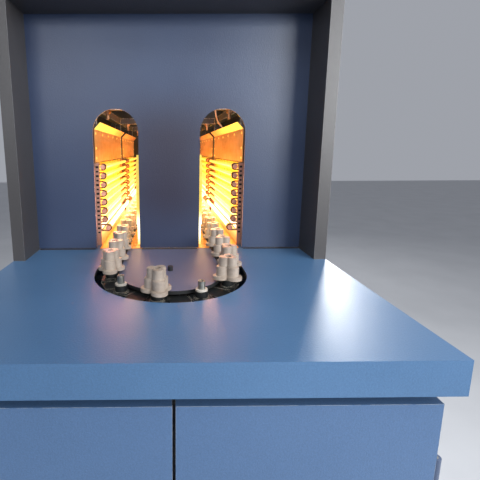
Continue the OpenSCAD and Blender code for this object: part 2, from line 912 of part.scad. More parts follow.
on_turn(4) holder(28);  // holder_c
on_turn(8) holder(101);  // holder_e
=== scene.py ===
"""Looks of the preform heating oven: finishes, glow, small fittings, light and camera."""
import math

import bmesh
import bpy
from mathutils import Matrix, Vector


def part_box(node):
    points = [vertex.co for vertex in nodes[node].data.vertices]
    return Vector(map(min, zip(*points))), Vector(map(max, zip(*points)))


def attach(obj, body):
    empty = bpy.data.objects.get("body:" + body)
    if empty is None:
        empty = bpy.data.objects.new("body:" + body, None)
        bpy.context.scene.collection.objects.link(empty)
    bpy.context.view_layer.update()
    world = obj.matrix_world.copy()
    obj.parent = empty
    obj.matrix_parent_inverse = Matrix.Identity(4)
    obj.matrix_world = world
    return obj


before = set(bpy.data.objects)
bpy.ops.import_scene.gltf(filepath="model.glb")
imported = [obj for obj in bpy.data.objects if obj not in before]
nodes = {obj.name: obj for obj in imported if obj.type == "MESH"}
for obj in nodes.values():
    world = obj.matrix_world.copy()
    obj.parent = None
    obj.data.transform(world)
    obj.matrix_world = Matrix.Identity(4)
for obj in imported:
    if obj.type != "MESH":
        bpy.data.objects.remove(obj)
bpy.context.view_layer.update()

# Places read from the frame
MM = 0.001
table_low, table_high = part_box("table_top")
wall_low, wall_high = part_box("oven_wall")
TABLE_Z = table_high.z
WALL_Y = wall_low.y
HOOD_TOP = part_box("hood_roof")[1].z
HOLDER_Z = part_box("holder_c")[0].z
LAMP_LOW, LAMP_HIGH = (corner.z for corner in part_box("lamp_tubes"))
WING_LOW, WING_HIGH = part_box("reflector_wings")
MIRROR_LOW, MIRROR_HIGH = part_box("outer_reflectors")
TIE_LOW, TIE_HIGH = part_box("tunnel_frame")

# Sizes of the solids that no box gives
SEAT_Z = TABLE_Z + 3.3 * MM
TIE_W = 20 * MM
TIES_Y = (TIE_LOW.y + TIE_W / 2, (TIE_LOW.y + TIE_HIGH.y) / 2, TIE_HIGH.y - TIE_W / 2)
MODULE_L = 500 * MM
MODULE_STARTS = (WING_LOW.y, WING_HIGH.y - MODULE_L)
LAMPS = 8
TUBE_R = 5 * MM
WINDOW_X = (70 * MM, 172.5 * MM)
FLANGE_X = (167.5 * MM, 178.0 * MM)
COMB_HOLES_MM = ((7.0, 5.4), (6.0, 4.3))
WING_SHEET = 1.6 * MM
WING_BEND = WING_HIGH.z - 16 * MM

# The camera stands where the photograph's stood, in metres from the wall's foot
CAMERA_X = -8.2 * MM
CAMERA_BACK = 833.6 * MM
CAMERA_UP = 231.8 * MM
CAMERA_YAW = 0.41
CAMERA_PITCH = 10.16
CAMERA_ROLL = -0.24
FOCAL_PX = 359.8
FRAME_PX = 480
CENTRE_PX = (168.4, 215.0)
SENSOR_MM = 36.0

# The glare of the lamps on the sheets round them
HOT_LAMP_Z = LAMP_LOW + 4 * MM
GLARE_REACH = 60 * MM
BEND_NEAR_Y = (WALL_Y + 0.5, WALL_Y + 0.1)
DEEP_Y = (WALL_Y + 0.1, WALL_Y + 0.75)
DEEP_Z = (TABLE_Z + 0.15, TABLE_Z + 0.05)
BEND_YELLOW = (0.95, 0.76, 0.18, 1)
GLARE_YELLOW = (1.0, 0.82, 0.3, 1)
GLARE_WHITE = (1.0, 0.93, 0.74, 1)
DEEP_YELLOW = (1.0, 0.86, 0.4, 1)
WHITE_POWER = 1.3


def linear(r, g, b, a=1.0):
    """Colour given as 0 to 255 in sRGB, as linear values."""
    def one(v):
        v = v / 255
        return v / 12.92 if v <= 0.04045 else ((v + 0.055) / 1.055) ** 2.4
    return (one(r), one(g), one(b), a)


class Shader:
    """A material under construction, with short names for its nodes."""

    def __init__(self, name):
        self.mat = bpy.data.materials.new(name)
        self.mat.use_nodes = True
        self.tree = self.mat.node_tree
        self.bsdf = self.tree.nodes["Principled BSDF"]
        self.coords = self.tree.nodes.new("ShaderNodeTexCoord")

    def node(self, kind, **settings):
        made = self.tree.nodes.new(kind)
        for key, value in settings.items():
            setattr(made, key, value)
        return made

    def link(self, a, b):
        self.tree.links.new(a, b)

    def feed(self, value, socket):
        """Links another node's output to a socket, or sets the socket to a constant."""
        if hasattr(value, "is_output"):
            self.link(value, socket)
        else:
            socket.default_value = value

    def set(self, **values):
        """Sockets of the shader itself, with _ for each space in their names."""
        for key, value in values.items():
            self.feed(value, self.bsdf.inputs[key.replace("_", " ")])

    def noise(self, scale, detail=4.0, rough=0.5, stretch=(1, 1, 1)):
        """Noise in metres of the object's own space: scale is features per metre."""
        mapping = self.node("ShaderNodeMapping")
        mapping.inputs["Scale"].default_value = stretch
        self.link(self.coords.outputs["Object"], mapping.inputs["Vector"])
        tex = self.node("ShaderNodeTexNoise")
        tex.inputs["Scale"].default_value = scale
        tex.inputs["Detail"].default_value = detail
        tex.inputs["Roughness"].default_value = rough
        self.link(mapping.outputs["Vector"], tex.inputs["Vector"])
        return tex.outputs["Fac"]

    def ramp(self, source, stops):
        """stops is a list of (place, colour)."""
        ramp = self.node("ShaderNodeValToRGB")
        band = ramp.color_ramp
        while len(band.elements) < len(stops):
            band.elements.new(0.5)
        for element, (place, colour) in zip(band.elements, stops):
            element.position = place
            element.color = colour
        self.link(source, ramp.inputs["Fac"])
        return ramp.outputs["Color"]

    def greys(self, source, low, high, start=0.3, end=0.7):
        return self.ramp(source, [(start, (low, low, low, 1)), (end, (high, high, high, 1))])

    def mix(self, factor, a, b, blend="MIX"):
        made = self.node("ShaderNodeMix", data_type="RGBA", blend_type=blend)
        for value, number in ((factor, 0), (a, 6), (b, 7)):
            self.feed(value, made.inputs[number])
        return made.outputs[2]

    def math(self, operation, a, b=0.0):
        made = self.node("ShaderNodeMath", operation=operation)
        self.feed(a, made.inputs[0])
        self.feed(b, made.inputs[1])
        return made.outputs[0]

    def times(self, first, *others):
        for other in others:
            first = self.math("MULTIPLY", first, other)
        return first

    def share(self, value, start, end, low=0.0, high=1.0, kind="LINEAR"):
        """low where value is start, high where it is end, and held beyond them."""
        made = self.node("ShaderNodeMapRange", interpolation_type=kind)
        for name, number in (("From Min", start), ("From Max", end), ("To Min", low), ("To Max", high)):
            made.inputs[name].default_value = number
        self.link(value, made.inputs["Value"])
        return made.outputs["Result"]

    def eased(self, value, start, end):
        """0 at start and 1 at end, eased at both."""
        return self.share(value, start, end, kind="SMOOTHSTEP")

    def axis(self, name, space="Object"):
        """One coordinate of the object's own space in metres, or of its Normal."""
        split = self.node("ShaderNodeSeparateXYZ")
        self.link(self.coords.outputs[space], split.inputs[0])
        return split.outputs[name]

    def bump(self, height, strength, distance):
        made = self.node("ShaderNodeBump")
        made.inputs["Strength"].default_value = strength
        made.inputs["Distance"].default_value = distance
        self.link(height, made.inputs["Height"])
        for socket in ("Normal", "Coat Normal"):
            self.link(made.outputs["Normal"], self.bsdf.inputs[socket])


def inside_box(s, low, high):
    """1 inside a box of the object's own space, 0 outside; None leaves a side open."""
    sides = [s.math(test, s.axis(name), limit)
             for name, *limits in zip("XYZ", low, high)
             for limit, test in zip(limits, ("GREATER_THAN", "LESS_THAN")) if limit is not None]
    return s.times(*sides)


def edge_wear_and_highlight(s, radius):
    """1 along the mesh's outer edges, broken up by noise, 0 on its faces: worn edges, and painted
    highlights along edges.
    """
    bevel = s.node("ShaderNodeBevel", samples=4)
    bevel.inputs["Radius"].default_value = radius
    geometry = s.node("ShaderNodeNewGeometry")
    dot = s.node("ShaderNodeVectorMath", operation="DOT_PRODUCT")
    s.link(bevel.outputs["Normal"], dot.inputs[0])
    s.link(geometry.outputs["Normal"], dot.inputs[1])
    edge = s.greys(s.math("SUBTRACT", 1.0, dot.outputs["Value"]), 0.0, 1.0, 0.01, 0.08)
    return s.times(edge, s.greys(s.noise(90, 4, 0.6), 0.0, 1.0, 0.36, 0.52))


def orange_peel(name, colour, dark, light, rough=(0.34, 0.46), peel=420, cut_edges=None, coat=0.25,
                shade_and_glow=None, wear_and_highlight=None):
    """Sprayed paint: slow change of tone, fine speckle and orange peel.

    bare is (axis, limit, colour, box): faces in the box that turn from the axis are cut edges in
    that colour: unpainted metal on the table's slot, painted shade on the island's edge, and
    unpainted metal with a painted pink glow of the lamps on the window rims.
    warm is (x, z, colour), painted shade with the lamps' violet glow in it: paint nearer to the
    middle than x and below z is mixed towards that colour, less so at its foot.
    wear is (radius, colour) along the edges: worn metal on the hood and doors, and a painted
    highlight of the glow on the edges of the tunnel's frame."""
    s = Shader(name)
    tone = s.ramp(s.noise(3.2, 3), [(0.3, dark), (0.5, colour), (0.72, light)])
    speckle = s.greys(s.noise(560, 3, 0.7), 0.91, 1.09, 0.35, 0.65)
    painted = s.mix(1.0, tone, speckle, "MULTIPLY")
    # Cut edges in their own colour; on the island's edge that colour is painted shade.
    if cut_edges is not None:
        axis, limit, metal_and_painted_light, box = cut_edges
        cut = s.math("LESS_THAN", s.math("ABSOLUTE", s.axis(axis, "Normal")), limit)
        painted = s.mix(s.times(cut, inside_box(s, *box)), painted, metal_and_painted_light)
    # Painted shade: the middle of the wall darkened towards violet, with the lamps' glow in it.
    if shade_and_glow is not None:
        reach, top, tint = shade_and_glow
        near = s.eased(s.math("ABSOLUTE", s.axis("X")), reach, 0.0)
        low = s.eased(s.axis("Z"), top, top - 0.15)
        foot = s.eased(s.axis("Z"), TABLE_Z + 0.02, TABLE_Z + 0.14)
        strength = s.times(low, s.math("ADD", s.times(foot, 0.45), 0.4))
        painted = s.mix(s.times(near, strength), painted, tint)
    # Lighter edges: worn metal on the hood and doors, a painted highlight on the tunnel's frame.
    if wear_and_highlight is not None:
        radius, metal_and_painted_light = wear_and_highlight
        painted = s.mix(edge_wear_and_highlight(s, radius), painted, metal_and_painted_light)
    s.set(Base_Color=painted, Roughness=s.greys(s.noise(700, 3), *rough),
          Specular_IOR_Level=0.5, Coat_Weight=coat, Coat_Roughness=0.3)
    s.bump(s.noise(peel, 3, 0.65), 0.5, 0.0006)
    return s.mat


def metal(name, colour, dark, rough=(0.3, 0.5), grain=(1, 1, 1), scale=300, metallic=1.0,
          emission=None, wear_and_highlight=None):
    """Bare metal with drawn grain and a slow change of tone.

    emission is (colour, strength) of a painted glow, and wear is (radius, colour) of the edges,
    a painted highlight where they catch the light."""
    s = Shader(name)
    tone = s.mix(s.noise(scale, 4, 0.6, grain), dark, colour)
    if wear_and_highlight is not None:
        # Lighter edges: a painted highlight where they catch the light.
        radius, edge_highlight = wear_and_highlight
        tone = s.mix(edge_wear_and_highlight(s, radius), tone, edge_highlight)
    cloud = s.greys(s.noise(18, 3), 0.82, 1.08)
    s.set(Base_Color=s.mix(1.0, tone, cloud, "MULTIPLY"), Roughness=s.greys(s.noise(90, 4), *rough),
          Metallic=metallic)
    s.bump(s.noise(scale * 1.7, 3, 0.5, grain), 0.08, 0.0003)
    if emission is not None:
        s.set(Emission_Color=emission[0], Emission_Strength=emission[1])
    return s.mat


def plastic(name, colour, dark, rough=(0.42, 0.6), subsurface=0.0, scale=160):
    """Moulded or turned plastic with slight soiling and a fine moulded skin."""
    s = Shader(name)
    soil = s.ramp(s.noise(46, 5, 0.62), [(0.34, dark), (0.58, colour)])
    s.set(Base_Color=soil, Roughness=s.greys(s.noise(220, 3), *rough),
          Subsurface_Weight=subsurface, Subsurface_Radius=(0.004, 0.003, 0.002))
    s.bump(s.noise(scale * 8, 2), 0.1, 0.0002)
    return s.mat


def glowing_quartz():
    """Lit filament tubes: the lowest is white hot, the others yellow."""
    s = Shader("quartz_lit")
    height = s.share(s.axis("Z"), LAMP_LOW, LAMP_HIGH)
    colour = s.ramp(height, [(0.0, (1.0, 0.86, 0.5, 1)), (0.14, (1.0, 0.78, 0.16, 1)),
                             (1.0, (1.0, 0.66, 0.1, 1))])
    power = s.share(height, 0.0, 0.16, 4.0, 0.95)
    ripple = s.greys(s.noise(60, 3, 0.5, (0.2, 1, 0.2)), 0.8, 1.1)
    s.set(Base_Color=(0.9, 0.7, 0.4, 1), Roughness=0.1, Emission_Color=colour,
          Emission_Strength=s.times(power, ripple))
    return s.mat


def spindle_finish():
    """Zinc plated spindle; the collar at the seat is the white washer."""
    s = Shader("spindle_zinc_and_washer")
    z = s.axis("Z")
    washer = s.times(s.math("GREATER_THAN", z, SEAT_Z - 0.2 * MM),
                     s.math("LESS_THAN", z, HOLDER_Z + 0.05 * MM))
    zinc = s.ramp(s.noise(420, 3, 0.6, (1, 1, 0.15)),
                  [(0.3, linear(116, 116, 110)), (0.7, linear(178, 178, 170))])
    white = s.ramp(s.noise(60, 4), [(0.35, linear(156, 150, 140)), (0.6, linear(190, 184, 174))])
    s.set(Base_Color=s.mix(washer, zinc, white), Metallic=s.math("SUBTRACT", 1.0, washer),
          Roughness=s.greys(s.noise(160, 3), 0.42, 0.58))
    s.bump(s.noise(900, 2), 0.08, 0.0002)
    return s.mat


def reflector(name, low, high, glow, reach, rough=(0.3, 0.5), metallic=0.8, hot=0.0, core=0.0,
              bend=None, far=0.0):
    """Polished sheet in the lamps' light, hazed in drawn streaks; its orange colour and its own glow
    are painted lamplight.

    glow is the light at the two ends of reach; hot adds the glare round the lowest lamp, which is
    white within core metres of its height.
    bend is the height from which the sheet leans over the lamps, yellow in their light.
    far is the light added deep in the lane, where lamps and sheets light each other."""
    s = Shader(name)
    tint = s.ramp(s.noise(14, 5, 0.6, (1, 0.35, 3)), [(0.3, low), (0.7, high)])
    if bend is not None:
        leaning = s.math("GREATER_THAN", s.axis("Z"), bend)
        tint = s.mix(s.times(leaning, s.eased(s.axis("Y"), *BEND_NEAR_Y)), tint, BEND_YELLOW)
    colour, strength = tint, s.share(s.axis("Z"), *reach, *glow)
    if hot:
        away = s.math("ABSOLUTE", s.math("SUBTRACT", s.axis("Z"), HOT_LAMP_Z))
        glare = s.eased(away, GLARE_REACH, 0.0)
        colour = s.mix(glare, colour, GLARE_YELLOW)
        strength = s.math("ADD", strength, s.times(glare, hot))
        if core:
            white = s.eased(away, core, 0.0)
            colour = s.mix(white, colour, GLARE_WHITE)
            strength = s.math("ADD", strength, s.times(white, WHITE_POWER))
    if far:
        deep = s.times(s.eased(s.axis("Y"), *DEEP_Y), s.eased(s.axis("Z"), *DEEP_Z))
        colour = s.mix(deep, colour, DEEP_YELLOW)
        strength = s.math("ADD", strength, s.times(deep, far))
    # Orange colour and emission: painted lamplight.
    s.set(Base_Color=tint, Metallic=metallic, Roughness=s.greys(s.noise(40, 4), *rough),
          Emission_Color=colour, Emission_Strength=strength)
    s.bump(s.noise(9, 3), 0.25, 0.004)
    return s.mat


# The cut edges of the conveyor's slot and of the windows, and the heights that the lamps light
SLOT_EDGE = ((-0.16, table_low.y + 0.1, None), (0.16, None, None))
WINDOW_EDGE = ((-0.18, None, TABLE_Z + 0.001), (0.18, None, TABLE_Z + 0.33))
WING_REACH = (WING_LOW.z, WING_HIGH.z)
OUTER_REACH = (MIRROR_LOW.z, MIRROR_HIGH.z)
LANE_REACH = (TABLE_Z, WING_LOW.z)
SILL_REACH = (TABLE_Z, MIRROR_LOW.z)

materials = {
    "table": orange_peel("table_paint", linear(68, 103, 140), linear(62, 96, 132), linear(75, 111, 149),
                         (0.34, 0.44), 380, ("Z", 0.5, linear(96, 98, 100), SLOT_EDGE)),
    "island": orange_peel("island_paint", linear(91, 94, 118), linear(86, 88, 113), linear(98, 100, 124),
                          # The island plate's cut edge, near black: painted shade on that edge.
                          (0.48, 0.6), 380, ("Z", 0.5, linear(26, 27, 28), SLOT_EDGE), coat=0.0),
    "wall": orange_peel("wall_paint", linear(46, 60, 88), linear(41, 54, 82), linear(53, 68, 96),
                        # The window rims: unpainted folded metal, lightened and tinted pink by a painted
                        # glow of the lamps.
                        (0.36, 0.5), 420, ("Y", 0.5, linear(200, 160, 150), WINDOW_EDGE),
                        # The wall's middle: painted shade with the lamps' violet glow in it.
                        shade_and_glow=(0.24, TABLE_Z + 0.40, linear(30, 22, 42))),
    "hood": orange_peel("hood_paint", linear(60, 58, 59), linear(56, 54, 55), linear(65, 63, 64),
                        (0.4, 0.55), wear_and_highlight=(1.2 * MM, linear(112, 112, 114))),
    "door": orange_peel("door_paint", linear(70, 99, 136), linear(67, 96, 132), linear(74, 103, 140),
                        wear_and_highlight=(1.0 * MM, linear(150, 156, 164))),
    "frame": orange_peel("frame_paint", linear(70, 84, 110), linear(60, 74, 98), linear(80, 96, 124)),
    "inner": orange_peel("tunnel_paint", linear(74, 72, 80), linear(54, 50, 56), linear(94, 92, 102),
                         # The frame's light edges: a painted highlight of the glow on them.
                         (0.4, 0.6), wear_and_highlight=(2.5 * MM, linear(240, 232, 232))),
    "zinc": metal("zinc_plate", linear(190, 188, 182), linear(120, 120, 118)),
    "clip": metal("clip_steel", linear(104, 68, 54), linear(66, 40, 32), (0.3, 0.5), (1, 1, 3),
                  metallic=0.4),
    # Combs: steel, lightened and tinted pink: painted glow of the lamps.
    "comb": metal("comb_steel_painted_glow", linear(212, 160, 142), linear(168, 120, 104), (0.4, 0.6), (1, 1, 3),
                  metallic=0.1),
    "dark": metal("oiled_dark_steel", linear(22, 25, 26), linear(10, 12, 13), (0.44, 0.6), (1, 1, 1),
                  # The slats' light edges: a painted highlight where they catch the light.
                  240, 0.0, wear_and_highlight=(1.5 * MM, linear(158, 152, 138))),
    "chain": metal("chain_steel", linear(70, 70, 68), linear(34, 34, 34), (0.3, 0.5)),
    "quartz": glowing_quartz(),
    # Lamp ends: ceramic, lightened and tinted pink: painted glow of the lamps.
    "ceramic": plastic("ceramic_painted_glow", linear(226, 160, 138), linear(176, 118, 98), (0.4, 0.6)),
    "nylon": plastic("holder_nylon", linear(164, 150, 137), linear(142, 129, 117), (0.36, 0.5), 0.05),
    "spindle": spindle_finish(),
    "rubber": plastic("black_rubber", linear(34, 34, 34), linear(22, 22, 22), (0.6, 0.8)),
    "black": plastic("black_oxide", linear(30, 30, 32), linear(16, 16, 18), (0.35, 0.5)),
    "motor": orange_peel("motor_paint", linear(60, 92, 130), linear(50, 80, 114), linear(72, 106, 144)),
    "outer_mirror": reflector("outer_reflector", (0.8, 0.42, 0.02, 1), (0.95, 0.64, 0.03, 1),
                              (0.5, 0.24), OUTER_REACH, (0.22, 0.36), 0.65, hot=0.8, core=0.028,
                              far=0.7),
    "wing_mirror": reflector("wing_reflector", (0.38, 0.155, 0.045, 1), (0.57, 0.27, 0.1, 1),
                             (0.4, 0.37), WING_REACH, (0.4, 0.6), 0.4, bend=WING_BEND),
    "inner_mirror": reflector("inner_reflector", (0.84, 0.56, 0.08, 1), (0.92, 0.7, 0.14, 1),
                              (0.95, 0.5), LANE_REACH, (0.25, 0.4), hot=0.9, core=0.05, far=0.6),
    "sill": reflector("heat_sill_sheet", (0.7, 0.22, 0.04, 1), (0.95, 0.38, 0.08, 1), (0.12, 0.5),
                      SILL_REACH, (0.35, 0.5), 0.5, hot=0.6, far=1.0),
    # Dark bead at the wall's foot: painted shade of the gap under the wall.
    "foot_shade": plastic("wall_foot_shade_dark", linear(40, 26, 26), linear(26, 17, 17), (0.6, 0.8)),
    "shade": plastic("comb_shade", linear(24, 14, 12), linear(12, 7, 6), (0.6, 0.8)),
    # Rivets: steel, their yellow colour and their glow are painted lamplight.
    "rivet": metal("rivet_painted_glow", linear(250, 210, 130), linear(226, 160, 84), (0.25, 0.4),
                   emission=(linear(255, 206, 110), 0.8)),
    "sheath": plastic("wire_sheath", linear(244, 208, 186), linear(214, 168, 140), (0.5, 0.7),
                      scale=400),
    "screw": metal("screw_zinc", linear(182, 182, 180), linear(128, 128, 128), (0.3, 0.45)),
    # Hanger studs: steel, their warm light tone a painted glow of the lamps.
    "stud": metal("hanger_steel_painted_glow", linear(236, 196, 160), linear(176, 130, 98), (0.3, 0.5)),
    "floor_sheet": reflector("tunnel_floor_sheet", (0.6, 0.21, 0.03, 1), (0.86, 0.36, 0.06, 1),
                             (0.2, 0.2), LANE_REACH, (0.35, 0.5), 0.6, far=1.1),
}

finish_of = {
    "table_top": "table", "island_plate": "island", "island_posts": "zinc", "oven_wall": "wall",
    "hood_side_left": "hood", "hood_side_right": "hood", "hood_roof": "hood", "hood_rear": "hood",
    "fan_housing": "zinc", "fan_rotor": "zinc", "reflector_wings": "wing_mirror",
    "outer_reflectors": "outer_mirror", "inner_reflectors": "inner_mirror",
    "tunnel_floor": "floor_sheet", "lamp_tubes": "quartz", "lamp_ends": "ceramic",
    "lamp_clips": "clip", "lamp_combs": "comb", "tunnel_frame": "inner", "frame": "frame",
    "side_skins": "door", "door_left": "door", "door_right": "door", "hinge_pins": "zinc",
    "levelling_feet": "rubber", "front_axle": "zinc", "axle_bolt": "black",
    "bearing_blocks": "chain", "guide_rails": "zinc", "gearmotor": "motor", "rear_shaft": "zinc",
    "front_wheel": "chain", "rear_wheel": "chain",
}
finish_by_word = {"links": "chain", "slats": "dark", "holder": "nylon", "spindle": "spindle"}


def finish_for(name):
    """The finish of a node: its own, or that of the word in its name."""
    if name in finish_of:
        return finish_of[name]
    return next(finish for word, finish in finish_by_word.items() if word in name)


def dress_nodes():
    for name, obj in nodes.items():
        obj.data.materials.clear()
        obj.data.materials.append(materials[finish_for(name)])


def place_camera():
    """Camera of the photograph: same place, tilt and focal length, principal point shifted."""
    yaw, pitch, roll = (math.radians(v) for v in (CAMERA_YAW, CAMERA_PITCH, CAMERA_ROLL))
    level = math.cos(pitch)
    forward = Vector((math.sin(yaw) * level, math.cos(yaw) * level, -math.sin(pitch)))
    right = Vector((math.cos(yaw), -math.sin(yaw), 0.0))
    up = right.cross(forward)
    right, up = (math.cos(roll) * right + math.sin(roll) * up,
                 -math.sin(roll) * right + math.cos(roll) * up)
    data = bpy.data.cameras.new("camera")
    data.sensor_width = SENSOR_MM
    data.lens = FOCAL_PX / FRAME_PX * SENSOR_MM
    data.shift_x = (FRAME_PX / 2 - CENTRE_PX[0]) / FRAME_PX
    data.shift_y = (CENTRE_PX[1] - FRAME_PX / 2) / FRAME_PX
    data.clip_start = 0.01
    camera = bpy.data.objects.new("camera", data)
    turn = Matrix((right, up, -forward)).transposed().to_4x4()
    place = Vector((CAMERA_X, WALL_Y - CAMERA_BACK, TABLE_Z + CAMERA_UP))
    camera.matrix_world = Matrix.Translation(place) @ turn
    bpy.context.scene.collection.objects.link(camera)
    bpy.context.scene.camera = camera


def area_light(name, place, target, size, power, colour=(1, 1, 1)):
    data = bpy.data.lights.new(name, "AREA")
    data.shape = "RECTANGLE"
    data.size, data.size_y = size
    data.energy = power
    data.color = colour
    light = bpy.data.objects.new(name, data)
    aim = Vector(target) - Vector(place)
    turn = aim.to_track_quat("-Z", "Y").to_matrix().to_4x4()
    light.matrix_world = Matrix.Translation(Vector(place)) @ turn
    bpy.context.scene.collection.objects.link(light)
    light.visible_camera = False
    return light


def studio_lights():
    """Soft light from both sides, above and behind."""
    y, z = WALL_Y, TABLE_Z
    for light in (
        ("left", (-1.0, y - 3.0, 1.9), (-0.1, y, z + 0.3), (1.1, 0.8), 20, (0.93, 0.96, 1.0)),
        ("right", (1.7, y - 2.6, 1.8), (0.1, y, z + 0.2), (1.2, 1.0), 62, (0.95, 0.98, 1.0)),
        ("table", (1.5, y - 0.7, 1.7), (0.2, y - 0.3, z), (0.8, 0.6), 9),
        ("corner", (0.86, y + 1.2, z + 0.66), (0.2, y - 0.3, z), (0.3, 0.7), 15),
        ("side", (1.0, y - 0.8, z + 0.3), (0.28, y, z + 0.12), (0.4, 0.4), 4.5),
        ("above", (0.3, y - 1.4, 3.0), (0, y - 0.4, z), (1.6, 1.2), 30),
        ("back", (0.8, 2.6, 2.6), (0, 0, 1.0), (2.0, 1.5), 40),
    ):
        area_light(*light)


def lamp_lights():
    """The lamps' glow in each lane, their streak on the table and the light under the crowns."""
    y, z = WALL_Y, TABLE_Z
    spills = {-1: (-0.143, 0.045, 0.18), 1: (0.132, 0.07, 0.12)}
    for side, (spill_x, spill_w, spill_power) in spills.items():
        area_light(f"glow_{side}", (side * 0.14, 0.15, z + 0.11), (0, 0.15, z + 0.1), (0.9, 0.12), 5,
                   (1.0, 0.58, 0.28))
        spill = area_light(f"spill_{side}", (spill_x, y + 0.03, z + 0.12),
                           (spill_x, y - 1.0, z + 0.02), (spill_w, 0.16), spill_power,
                           (1.0, 0.34, 0.3))
        spill.visible_diffuse = False
        area_light(f"inside_{side}", (side * 0.11, y + 0.015, z + 0.40),
                   (side * 0.13, y + 0.5, z + 0.36), (0.08, 0.05), 0.35, (1.0, 0.86, 0.8))


def studio():
    """Pale floor and surroundings, and all the lights."""
    bpy.context.scene.view_settings.view_transform = "Standard"
    world = bpy.data.worlds.new("studio")
    bpy.context.scene.world = world
    world.use_nodes = True
    background = world.node_tree.nodes["Background"]
    background.inputs["Color"].default_value = (0.86, 0.9, 1.0, 1)
    background.inputs["Strength"].default_value = 0.4
    studio_lights()
    lamp_lights()
    mesh = bpy.data.meshes.new("floor")
    made = bmesh.new()
    bmesh.ops.create_grid(made, x_segments=1, y_segments=1, size=12)
    made.to_mesh(mesh)
    made.free()
    floor = bpy.data.objects.new("floor", mesh)
    bpy.context.scene.collection.objects.link(floor)
    s = Shader("floor_pale")
    tone = s.ramp(s.noise(3, 3), [(0.3, (0.45, 0.46, 0.48, 1)), (0.7, (0.49, 0.5, 0.52, 1))])
    s.set(Base_Color=tone, Roughness=0.7)
    mesh.materials.append(s.mat)


def turned(made, profile, place, axis, steps=20):
    """Adds a turned form to a mesh; profile is (radius, height) along the axis."""
    turn = Vector(axis).to_track_quat("Z", "Y").to_matrix().to_4x4()
    at = Matrix.Translation(Vector(place)) @ turn
    rings = []
    for radius, height in profile:
        count = steps if radius > 0 else 1
        angles = (2 * math.pi * n / count for n in range(count))
        rings.append([made.verts.new(at @ Vector((radius * math.cos(a), radius * math.sin(a), height)))
                      for a in angles])
    for below, above in zip(rings, rings[1:]):
        for n in range(steps):
            m = (n + 1) % steps
            if len(above) == 1:
                made.faces.new((below[n], below[m], above[0]))
            else:
                made.faces.new((below[n], below[m], above[m], above[n]))
    made.faces.new(list(reversed(rings[0])))


def round_head(radius, height):
    """Profile of a domed rivet head."""
    steps = 5
    angles = (math.pi / 2 * n / steps for n in range(steps))
    return [(radius * math.cos(a), height * math.sin(a)) for a in angles] + [(0.0, height)]


def prism(made, front, back):
    """Adds a solid between two like outlines, given as lists of places."""
    front, back = ([made.verts.new(place) for place in outline] for outline in (front, back))
    made.faces.new(front)
    made.faces.new(list(reversed(back)))
    for n in range(len(front)):
        m = (n + 1) % len(front)
        made.faces.new((front[n], back[n], back[m], front[m]))


def bevelled_plate(made, low, high, cut):
    """Adds a thin plate across the lane, with its four corners cut."""
    x, z = (low.x, high.x), (low.z, high.z)
    outline = [(x[0] + cut, z[0]), (x[1] - cut, z[0]), (x[1], z[0] + cut), (x[1], z[1] - cut),
               (x[1] - cut, z[1]), (x[0] + cut, z[1]), (x[0], z[1] - cut), (x[0], z[0] + cut)]
    prism(made, *([(px, y, pz) for px, pz in outline] for y in (low.y, high.y)))


def piece(name, made, finish, body="machine", smooth=True):
    """Turns a finished mesh into a piece of the object that rides on a body."""
    bmesh.ops.recalc_face_normals(made, faces=made.faces)
    mesh = bpy.data.meshes.new(name)
    made.to_mesh(mesh)
    made.free()
    if smooth:
        mesh.polygons.foreach_set("use_smooth", [True] * len(mesh.polygons))
        mesh.set_sharp_from_angle(angle=math.radians(35))
    obj = bpy.data.objects.new(name, mesh)
    bpy.context.scene.collection.objects.link(obj)
    mesh.materials.append(materials[finish])
    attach(obj, body)
    return obj


def wing_rivets():
    """Rivets along both ends and the bend of each upper reflector."""
    head = round_head(3.2 * MM, 1.6 * MM)
    count, inset, below_bend = 6, 12 * MM, 9 * MM
    end_rows = (10 * MM, 34 * MM)
    face = WING_HIGH.x - WING_SHEET
    made = bmesh.new()
    for side in (-1, 1):
        for start in MODULE_STARTS:
            step = (MODULE_L - 2 * inset) / (count - 1)
            row = [start + inset + n * step for n in range(count)]
            places = [(y, WING_BEND - below_bend) for y in row]
            places += [(y, WING_LOW.z + z) for y in (row[0], row[-1]) for z in end_rows]
            for y, z in places:
                turned(made, head, (side * face, y, z), (-side, 0, 0), 14)
    return piece("wing_rivets", made, "rivet")


def heat_sills():
    """Lit strip between each module's floor strip and the foot of its outer reflector."""
    foot_x, foot_z = 167.2 * MM, TABLE_Z + 1.7 * MM
    top_x, top_z = 171.8 * MM, MIRROR_LOW.z - 1.0 * MM
    thick, end_gap, steps = 0.6 * MM, 0.5 * MM, 8
    shares = [n / steps for n in range(steps + 1)]
    outline = [(foot_x + (top_x - foot_x) * t ** 2, foot_z + (top_z - foot_z) * t) for t in shares]
    outline += [(x + thick, z) for x, z in reversed(outline)]
    made = bmesh.new()
    for side in (-1, 1):
        for start in MODULE_STARTS:
            ends = (start + end_gap, start + MODULE_L - end_gap)
            prism(made, *([(side * x, y, z) for x, z in outline] for y in ends))
    return piece("heat_sills", made, "sill")


